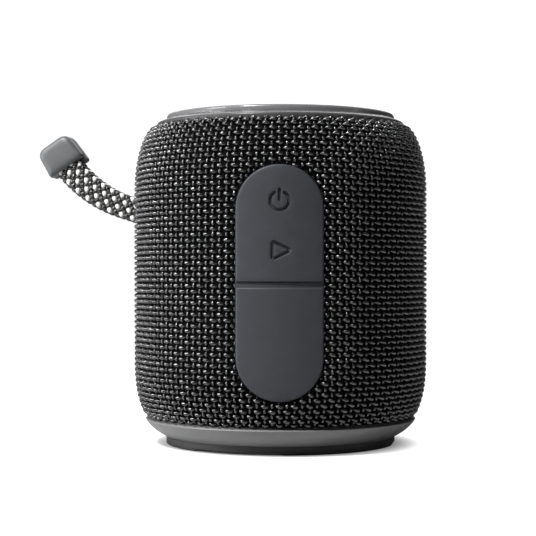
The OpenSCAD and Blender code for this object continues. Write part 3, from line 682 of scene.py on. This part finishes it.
def make_top(plate_mat, key_mat):
    """The recessed top panel and its two volume keys."""
    low, high = box_mm("top_panel")
    radius, face, base = high[0], high[2], low[2]
    keys = {}
    for side, node in [(1, "volume_up_key"), (-1, "volume_down_key")]:
        key_low, key_high = box_mm(node)
        centre = (key_low[:2] + key_high[:2]) / 2
        keys[node] = (centre, (key_high[0] - key_low[0]) / 2, key_high[2], side)

    def plane(z):
        return lambda p, depth=0: np.stack([p[:, 0], p[:, 1], z - depth + 0 * p[:, 0]], -1)

    def from_holes(p):
        return np.min([np.hypot(*(p - k[0]).T) - k[1] - TOP_KEY_GAP for k in keys.values()], axis=0)

    def plate_inset(p):
        return np.minimum(radius - np.hypot(*p.T), from_holes(p))

    edge = TOP_EDGE
    loops = [circle_loop((0, 0), radius - d, 120) for d in fillet_offsets(edge)]
    for centre, key_r, _, _ in keys.values():
        loops += [circle_loop(centre, key_r + TOP_KEY_GAP + d) for d in fillet_offsets(edge)]
    plate = skin("top_plate", loops, [], lambda p: plate_inset(p) > 0, lambda p: fillet(plate_inset(p), edge),
                 plane(face), plane(base), plate_mat, 2.5)
    pieces = {"top_panel": plate}
    for node, (centre, key_r, top, side) in keys.items():
        mark = level_mark(centre, side > 0)
        loops = [circle_loop(centre, key_r - d) for d in fillet_offsets(edge)]
        for level in MARK_LEVELS:
            loops += mark.loops(level)

        def key_inset(p, centre=centre, key_r=key_r):
            return key_r - np.hypot(*(p - centre).T)

        def key_depth(p, inset_of=key_inset, mark=mark):
            return np.maximum(fillet(inset_of(p), edge), engraved(mark.distance(p)))

        pieces[node] = skin(node + "_cap", loops, [],
                            lambda p, inset_of=key_inset: inset_of(p) > 0, key_depth,
                            plane(top), plane(top - KEY_CAP_T), key_mat, 0.9)
    return pieces


# ---- rings and foot ----
FOOT_RELIEFS, RELIEF_TURN, RELIEF_ARC, RELIEF_RAMP, RELIEF_H = 3, math.radians(-112), 46, 5, 0.55
FOOT_IN_R = 28.3
RING_Z0, RING_IN_R, RING_STEP, COLLAR_Z = 90.6, 36.1, (36.4, 92.8), 97
COLLAR_GAP, BEZEL_GAP = 0.08, 0.1
BASE_EDGE_R, BASE_PULL = 34.7, (38.6, 4.3)
BASE_INSIDE = [(37.2, 9.6), (35.4, 9.6), (35.4, 4.6), (30, 4.6), (29, 4.4)]


def foot_underside(turn):
    """Height of the foot's underside: flat, with shallow reliefs that run out in ramps."""
    share = 2 * math.pi / FOOT_RELIEFS
    away = np.degrees(np.abs((turn - RELIEF_TURN + share / 2) % share - share / 2))
    ramp = np.clip((RELIEF_ARC / 2 + RELIEF_RAMP / 2 - away) / RELIEF_RAMP, 0, 1)
    return RELIEF_H * ramp * ramp * (3 - 2 * ramp)


def top_ring_profile():
    """The ring that slopes from the fabric's upper edge to the collar round the bezel."""
    edge_r, edge_z, _, _ = side_at(SIDE_LENGTH, 0.0)
    collar_r = RIM_R + COLLAR_GAP
    corners = [(edge_r - 0.12, edge_z + 0.02), (edge_r - 0.35, edge_z + 0.4), (collar_r, COLLAR_Z),
               (collar_r, RING_Z0), (RING_IN_R, RING_Z0), RING_STEP]
    return rounded(corners, [0.15, 0.2, 0.1, 0.1, 0.1, 0.3])[::-1]


def bezel_profile():
    """The raised rim round the recessed top."""
    inside = box_mm("top_panel")[1][0] + BEZEL_GAP
    corners = [(RIM_R, RING_Z0), (RIM_R, RIM_Z), (inside, RIM_Z), (inside, RING_Z0)]
    return rounded(corners, [0.1, 1, 1, 0.1], 8)


def base_ring_profile():
    """The ring that tapers from a lip round the fabric's lower edge down to the foot."""
    lip_r, lip_z, _, _ = side_at(0.0, 0.0)
    foot_edge, lip = np.array([BASE_EDGE_R, FOOT_H]), np.array([lip_r + 0.55, lip_z - 0.4])
    t = np.linspace(0, 1, 14)[:, None]
    side = (1 - t) ** 2 * foot_edge + 2 * t * (1 - t) * np.array(BASE_PULL) + t * t * lip
    crest = [(lip_r + 0.48, lip_z - 0.22), (lip_r + 0.25, lip_z - 0.1), (lip_r - 0.1, lip_z - 0.08)]
    inside = [*BASE_INSIDE, (BASE_INSIDE[-1][0], FOOT_H)]
    return np.concatenate([side, crest, inside])


def foot_profile():
    """The rubber foot."""
    corners = [(FOOT_IN_R, 0), (FOOT_R, 0), (FOOT_R, FOOT_H), (FOOT_IN_R, FOOT_H)]
    return rounded(corners, [0.3, 0.4, 0.1, 0.1])


def make_rings(shaded_top_mat, bezel_mat, base_mat, foot_mat):
    """The turned parts, by the CAD node that each stands for."""
    return {
        "foot_ring": lathe("foot_tread", foot_profile(), foot_mat, 360, underside=foot_underside),
        "top_ring": lathe("top_slope_ring", top_ring_profile(), shaded_top_mat),
        "top_bezel": lathe("top_rim", bezel_profile(), bezel_mat),
        "base_ring": lathe("base_slope_ring", base_ring_profile(), base_mat),
    }


# ---- strap ----
STRAP_SLOPE, STRAP_BEND, STRAP_SWEEP = 18, 38, 41
STRAP_BACK = 8.6
YARNS = 8
STRAND_HALF_W, STRAND_HALF_T = 3.25, 0.82
STRAND_SIDE = 1.36
STRAP_FLARE = 0.2
CRIMP = 1.2
BRAID_HALF_W, BRAID_HALF_T, BRAID_WAVE, BRAID_SIDES = 0.66, 0.32, 0.3, 6


def strap_path(count=420):
    """The strap's centre line and its in-plane normal, from inside the barrel into the clip."""
    slope = math.radians(STRAP_SLOPE)
    bend = STRAP_BEND * math.radians(STRAP_SWEEP)
    run = np.linspace(-STRAP_BACK, bend, count)
    angle = slope + np.clip(run, 0, None) / STRAP_BEND
    x = np.where(run < 0, run * math.cos(slope), STRAP_BEND * (np.sin(angle) - math.sin(slope)))
    z = np.where(run < 0, run * math.sin(slope), STRAP_BEND * (math.cos(slope) - np.cos(angle)))
    centre = LIFT + x[:, None] * STRAP_DIR + z[:, None] * UP
    normal = -np.sin(angle)[:, None] * STRAP_DIR + np.cos(angle)[:, None] * UP
    return run, centre, normal


def stadium(u):
    """Point and outward normal on the strand's flattened section, u turns round it."""
    flat = 2 * (STRAND_HALF_W - STRAND_HALF_T)
    bend = math.pi * STRAND_HALF_T
    s = (u % 1) * 2 * (flat + bend)
    corner = np.select([s < flat, s < flat + bend, s < 2 * flat + bend],
                       [0 * s, (s - flat) / STRAND_HALF_T, 0 * s + math.pi],
                       math.pi + (s - 2 * flat - bend) / STRAND_HALF_T)
    shift = np.select([s < flat, s < flat + bend, s < 2 * flat + bend],
                      [s - flat / 2, 0 * s + flat / 2, 1.5 * flat + bend - s], 0 * s - flat / 2)
    nw, nt = np.sin(corner), np.cos(corner)
    return shift + STRAND_HALF_T * nw, STRAND_HALF_T * nt, nw, nt, 2 * (flat + bend)


def crimp(phase):
    """Height of a yarn over and under the ones it crosses, from -1 to 1."""
    return np.tanh(CRIMP * np.cos(math.pi * phase)) / math.tanh(CRIMP)


def braid_strap(black, white):
    """Two flattened tubular braids, side by side. Every second yarn of one direction is white."""
    run, path, normal = strap_path()
    dark, light = Tubes(BRAID_SIDES), Tubes(BRAID_SIDES)
    around = stadium(np.zeros(1))[4]
    for strand in (-1, 1):
        for way in (-1, 1):
            for k in range(YARNS):
                turns = k / YARNS + way * run / around
                other = turns * YARNS + way * run / around * YARNS
                w, t, nw, nt, _ = stadium(turns)
                w = w * (1 + STRAP_FLARE * np.clip(run / run[-1], 0, 1))
                sign = way if k % 2 == 0 else -way
                lift = BRAID_WAVE * sign * crimp(other)
                out = nw[:, None] * normal + nt[:, None] * STRAP_SIDE
                centre = path + w[:, None] * normal + (strand * STRAND_SIDE + t)[:, None] * STRAP_SIDE
                centre = centre + lift[:, None] * out
                along = unit(np.gradient(centre, axis=0))
                wide = unit(np.cross(along, out))
                bundle = light if way > 0 and k % 2 == 0 else dark
                bundle.add(centre, wide, np.cross(wide, along), BRAID_HALF_W, BRAID_HALF_T)
    return [dark.build("strap_black_yarns", black), light.build("strap_white_yarns", white)]


# ---- clip ----
CLIP_MOUTH = (18.0, 12.3)
CLIP_SLOPE = 56
CLIP_LENGTH, CLIP_MOUTH_W, CLIP_END_W = 9.2, 12.6, 11.2
CLIP_HALF_T = 4.3
CLIP_CORNERS = (0.9, 3, 3.2, 1.2)
CLIP_REAR_REACH = 1.5
DOME_IN, DOME_DOWN, DOME_POWER = 3.3, 2.8, 1.7
PARTING_ROUND, PARTING_GAP = 0.8, 0.08
CAVITY_W, CAVITY_T, CAVITY_LENGTH, CAVITY_LEAD = 9.4, 5.7, 6.6, 2


def clip_outline(inset, reach=0.0):
    """A lobe's rounded outline, drawn in by inset: x from the mouth, y across.
    reach draws out its upper mouth corner."""
    a, b = CLIP_MOUTH_W / 2, CLIP_END_W / 2
    corners = np.array([(0, -a), (CLIP_LENGTH, -b), (CLIP_LENGTH, b), (-reach, a)])
    middle = np.array([CLIP_LENGTH / 2, 0])
    scale = 1 - inset / np.array([CLIP_LENGTH / 2, (a + b) / 2])
    radii = [max(radius - 0.5 * inset, 0.4) for radius in CLIP_CORNERS]
    return middle + rounded((corners - middle) * scale, radii, 12)


def clip_place(flat, t):
    """Places for points in the clip: x from the mouth, y across, t towards the front."""
    slope = math.radians(CLIP_SLOPE)
    along = math.cos(slope) * STRAP_DIR + math.sin(slope) * UP
    across = -math.sin(slope) * STRAP_DIR + math.cos(slope) * UP
    mouth = LIFT + CLIP_MOUTH[0] * STRAP_DIR + CLIP_MOUTH[1] * UP
    return mouth + flat[:, :1] * along + flat[:, 1:2] * across + t * STRAP_SIDE


def stacked(name, rings, mat, sharp_deg):
    """A closed form through a stack of rings that all have the same number of points."""
    count = len(rings[0])
    i, k = np.meshgrid(np.arange(len(rings) - 1), np.arange(count), indexing="ij")
    side = (k + 1) % count
    quads = np.stack([i * count + k, i * count + side, (i + 1) * count + side, (i + 1) * count + k], -1)
    top = np.arange(count) + (len(rings) - 1) * count
    caps = np.stack([np.arange(count)[::-1], top])
    return make_object(name, np.concatenate(rings), [quads.reshape(-1, 4), caps], mat, sharp_deg)


def clip_cavity(name, mat):
    """The space inside the clip that the strap fills, slightly narrower at the front and the back."""
    half_w, half_t = CAVITY_W / 2, CAVITY_T / 2
    flat = rounded([(-CAVITY_LEAD, -half_w), (CAVITY_LENGTH, -half_w), (CAVITY_LENGTH, half_w),
                    (-CAVITY_LEAD, half_w)], [0.1, 1.5, 1.5, 0.1], 6)
    levels = [(-half_t, 0.9), (0.5 - half_t, 1), (half_t - 0.5, 1), (half_t, 0.9)]
    return stacked(name, [clip_place(flat * np.array([1, grow]), t) for t, grow in levels], mat, 50)


def hollowed(lobe, core):
    """Cuts a core out of a lobe and drops the core."""
    cut = lobe.modifiers.new("cavity", "BOOLEAN")
    cut.operation = "DIFFERENCE"
    cut.object = core
    cut.solver = "EXACT"
    bpy.context.view_layer.update()
    shaped = bpy.data.meshes.new_from_object(lobe.evaluated_get(bpy.context.evaluated_depsgraph_get()))
    lobe.modifiers.clear()
    lobe.data = shaped
    lobe.data.set_sharp_from_angle(angle=math.radians(40))
    bpy.data.objects.remove(core)
    return lobe


def make_clip(mat):
    """The two domed lobes of the end clip, hollow where the strap goes in."""
    lobes = []
    for name, side, reach in [("clip_lobe_front", 1, 0), ("clip_lobe_rear", -1, CLIP_REAR_REACH)]:
        rings = []
        for turn in np.radians(np.linspace(-90, 0, 6)):
            inset = PARTING_ROUND * (1 - math.cos(turn))
            t = PARTING_GAP + PARTING_ROUND * (1 + math.sin(turn))
            rings.append(clip_place(clip_outline(inset, reach), side * t))
        for turn in np.radians(np.linspace(0, 90, 14)):
            inset = DOME_IN * (1 - math.cos(turn)) ** DOME_POWER
            t = CLIP_HALF_T - DOME_DOWN * (1 - math.sin(turn))
            rings.append(clip_place(clip_outline(inset, reach), side * t))
        lobe = stacked(name, rings[::side], mat, 50)
        lobes.append(hollowed(lobe, clip_cavity(name + "_core", mat)))
    return lobes


# ---- CAD nodes that stay in view ----
METALS = ("brushed_steel", "aluminium", "brass", "cast_iron")


def finish_nodes():
    """A procedural material for every CAD node, by its slot and its class in the record."""
    record = frame["record"]
    made = {}
    for entry in record["materials"]:
        metal = entry["class"] in METALS
        made[entry["slot"]] = material(
            "cad_" + entry["slot"], entry["base_color"][:3], 0.35 if metal else 0.6,
            grain_mm=0.15 if metal else 0.25, bump_mm=0.01, metallic=1.0 if metal else 0.0, baked=False)
    for entry in record["subparts"]:
        node = frame["nodes"][entry["node"]]
        node.data.materials.clear()
        node.data.materials.append(made[entry["material_slot"]])


# ---- build ----
YARN_BLACK, YARN_IOR = (0.005, 0.005, 0.0054), 1.62
panel_rubber = material("panel_rubber", (0.038, 0.041, 0.048), rough=0.5, grain_mm=0.12, bump_mm=0.012,
                        mottle=0.05, rough_spread=0.04, specular=0.3)
ring_plastic = material("ring_plastic", (0.2, 0.2, 0.203), rough=0.38, grain_mm=0.1, bump_mm=0.008,
                        mottle=0.05, rough_spread=0.04)
bezel_plastic = material("bezel_plastic", (0.16, 0.161, 0.165), rough=0.24, grain_mm=0.1, bump_mm=0.008,
                         mottle=0.05, rough_spread=0.04)
top_rubber = material("top_rubber", (0.04, 0.041, 0.044), rough=0.55, grain_mm=0.12, bump_mm=0.015,
                      mottle=0.05, rough_spread=0.04)
# The top ring's copy of the ring plastic, made darker as painted shade.
top_ring_shaded_plastic = material("top_ring_shaded_plastic", (0.07, 0.07, 0.073), rough=0.27, grain_mm=0.1, bump_mm=0.008,
                       mottle=0.05, rough_spread=0.04)
foot_rubber = material("foot_rubber", (0.028, 0.028, 0.028), rough=0.6, grain_mm=0.15, bump_mm=0.02,
                       mottle=0.05, rough_spread=0.05)
clip_plastic = material("clip_plastic", (0.11, 0.113, 0.118), rough=0.42, grain_mm=0.12, bump_mm=0.012,
                        mottle=0.05, rough_spread=0.04)
sleeve_yarn = material("sleeve_yarn", YARN_BLACK, rough=0.24, grain_mm=0.12, bump_mm=0.02, specular=1.0,
                       baked=False)
sleeve_yarn.node_tree.nodes["Principled BSDF"].inputs["IOR"].default_value = YARN_IOR
strap_black = material("strap_black", YARN_BLACK, rough=0.25, grain_mm=0.1, bump_mm=0.02, specular=0.9,
                       baked=False)
strap_white = material("strap_white", (0.82, 0.81, 0.77), rough=0.5, grain_mm=0.1, bump_mm=0.03,
                       specular=0.4, baked=False)
# Near-black painted shade: the liner behind the yarns and the grille shell use it so the gaps between the yarns
# read dark.
painted_shade_black = material("painted_shade_black", (0.002, 0.002, 0.002), rough=0.9, grain_mm=0.2, bump_mm=0.01,
                       specular=0.05, baked=False)

finish_nodes()
# Painted shade: the shell is made as black as the scrim, so its slots don't show and the gaps between the yarns
# read as deep shade.
frame["nodes"]["grille_shell"].data.materials[0] = painted_shade_black


def settle(piece, body, nodes=()):
    """Rides a piece on its body and the CAD nodes that it stands for."""
    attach(piece, body)
    if nodes:
        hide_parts(*nodes)


for piece in [*weave_wefts(sleeve_yarn), *weave_warps(sleeve_yarn), line_sleeve(painted_shade_black)]:
    settle(piece, "housing", ["fabric_sleeve"])

settle(make_key_pad(panel_rubber), "housing", ["key_pad"])
settle(make_key("panel_power_key", (0, POWER_Z), power_mark((0, POWER_Z)), panel_rubber),
       "power_button", ["power_key"])
settle(make_key("panel_play_key", (0, PLAY_Z), play_mark((PLAY_SHIFT, PLAY_Z)), panel_rubber),
       "play_button", ["play_key"])
settle(make_port_cover(panel_rubber), "port_flap", ["port_cover"])

top_bodies = {"top_panel": "housing", "volume_up_key": "volume_up_button",
              "volume_down_key": "volume_down_button"}
for node, piece in make_top(top_rubber, panel_rubber).items():
    settle(piece, top_bodies[node], [node])
for node, piece in make_rings(top_ring_shaded_plastic, bezel_plastic, ring_plastic, foot_rubber).items():
    settle(piece, "housing", [node])

for piece in braid_strap(strap_black, strap_white):
    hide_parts("strap_root", "strap_loop")
    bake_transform(piece)
for piece, node in zip(make_clip(clip_plastic), ["clip_front", "clip_rear"]):
    settle(piece, "strap_tail", [node])


# ---- floor, light and camera, in metres ----
TARGET = (0, 0, 0.05)


def around_object(turn_deg, rise_deg, distance):
    """A place seen from the object: degrees round from the front towards +X, degrees up, metres away."""
    turn, rise = math.radians(turn_deg), math.radians(rise_deg)
    away = Vector((math.sin(turn) * math.cos(rise), -math.cos(turn) * math.cos(rise), math.sin(rise)))
    return Vector(TARGET) + distance * away


def add_area(name, place, aim, size, power):
    """A soft rectangular light at a place, facing aim. size is its two sides and power is in watts."""
    data = bpy.data.lights.new(name, "AREA")
    data.shape = "RECTANGLE"
    data.size, data.size_y = size
    data.energy = power
    light = bpy.data.objects.new(name, data)
    bpy.context.scene.collection.objects.link(light)
    light.location = place
    light.rotation_euler = (Vector(aim) - Vector(place)).to_track_quat("-Z", "Y").to_euler()
    return light


def seen_bright(tree, socket, seen, otherwise):
    """Gives a socket one value for what the camera sees directly and another for every other ray."""
    rays = tree.nodes.new("ShaderNodeLightPath")
    span = tree.nodes.new("ShaderNodeMapRange")
    span.inputs["To Min"].default_value = otherwise
    span.inputs["To Max"].default_value = seen
    tree.links.new(rays.outputs["Is Camera Ray"], span.inputs["Value"])
    tree.links.new(span.outputs["Result"], socket)


# How far from the object the floor's glow is darkened: the reach of a painted contact shadow.
PAINTED_SHADOW_REACH = 0.006


def make_stage():
    """A pale floor that curves up into a pale wall. Near the object the glow the camera sees on it is darkened by
    occlusion, a painted contact shadow.
    """
    half, radius, back, wall = 2.4, 0.6, 1.6, 2.6
    bend = np.radians(np.arange(10, 91, 10))
    curve = [(back + radius * math.sin(a), radius * (1 - math.cos(a))) for a in bend]
    profile = [(-half, 0), (back, 0), *curve, (back + radius, wall)]
    verts = [(x / MM, y / MM, z / MM) for y, z in profile for x in (-half, half)]
    quads = [(2 * i, 2 * i + 1, 2 * i + 3, 2 * i + 2) for i in range(len(profile) - 1)]
    pale = material("pale_floor", (0.5, 0.5, 0.5), rough=0.7, grain_mm=2, bump_mm=0.01, specular=0.2,
                    baked=False)
    nodes, links = pale.node_tree.nodes, pale.node_tree.links
    # Painted contact shadow: occlusion darkens the floor's glow near the object.
    painted_contact_shadow = nodes.new("ShaderNodeAmbientOcclusion")
    painted_contact_shadow.inputs["Distance"].default_value = PAINTED_SHADOW_REACH
    links.new(painted_contact_shadow.outputs["Color"], nodes["Principled BSDF"].inputs["Emission Color"])
    seen_bright(pale.node_tree, nodes["Principled BSDF"].inputs["Emission Strength"], 0.95, 0.0)
    floor = make_object("floor", np.array(verts), [np.array(quads)], pale)


make_stage()
world = bpy.data.worlds.new("studio")
world.use_nodes = True
world.node_tree.nodes["Background"].inputs["Color"].default_value = (1, 1, 1, 1)
seen_bright(world.node_tree, world.node_tree.nodes["Background"].inputs["Strength"], 1.0, 0.03)
bpy.context.scene.world = world

add_area("key_left", around_object(-70, 30, 0.95), TARGET, (0.16, 0.16), 4.8)
add_area("low_left", around_object(-82, 2, 0.9), TARGET, (0.25, 0.2), 3.2)
add_area("top_front", around_object(-38, 52, 0.95), TARGET, (0.08, 0.08), 11)
add_area("fill_right", around_object(80, 12, 0.9), TARGET, (0.12, 0.4), 0.25)
add_area("rear_top", around_object(180, 40, 1.1), TARGET, (1.2, 0.6), 5.5)

CAMERA_TURN, CAMERA_DISTANCE, CAMERA_SHIFT, CAMERA_HEIGHT = math.radians(0.8), 0.45, -0.00375, 0.0525
camera_data = bpy.data.cameras.new("camera")
camera_data.lens, camera_data.sensor_width = 99.9, 36
camera = bpy.data.objects.new("camera", camera_data)
bpy.context.scene.collection.objects.link(camera)
right = Vector((math.cos(CAMERA_TURN), math.sin(CAMERA_TURN), 0))
forward = Vector((-math.sin(CAMERA_TURN), math.cos(CAMERA_TURN), 0))
camera.location = CAMERA_SHIFT * right - CAMERA_DISTANCE * forward + Vector((0, 0, CAMERA_HEIGHT))
camera.rotation_euler = forward.to_track_quat("-Z", "Y").to_euler()
bpy.context.scene.camera = camera
bpy.context.scene.view_settings.view_transform = "Standard"
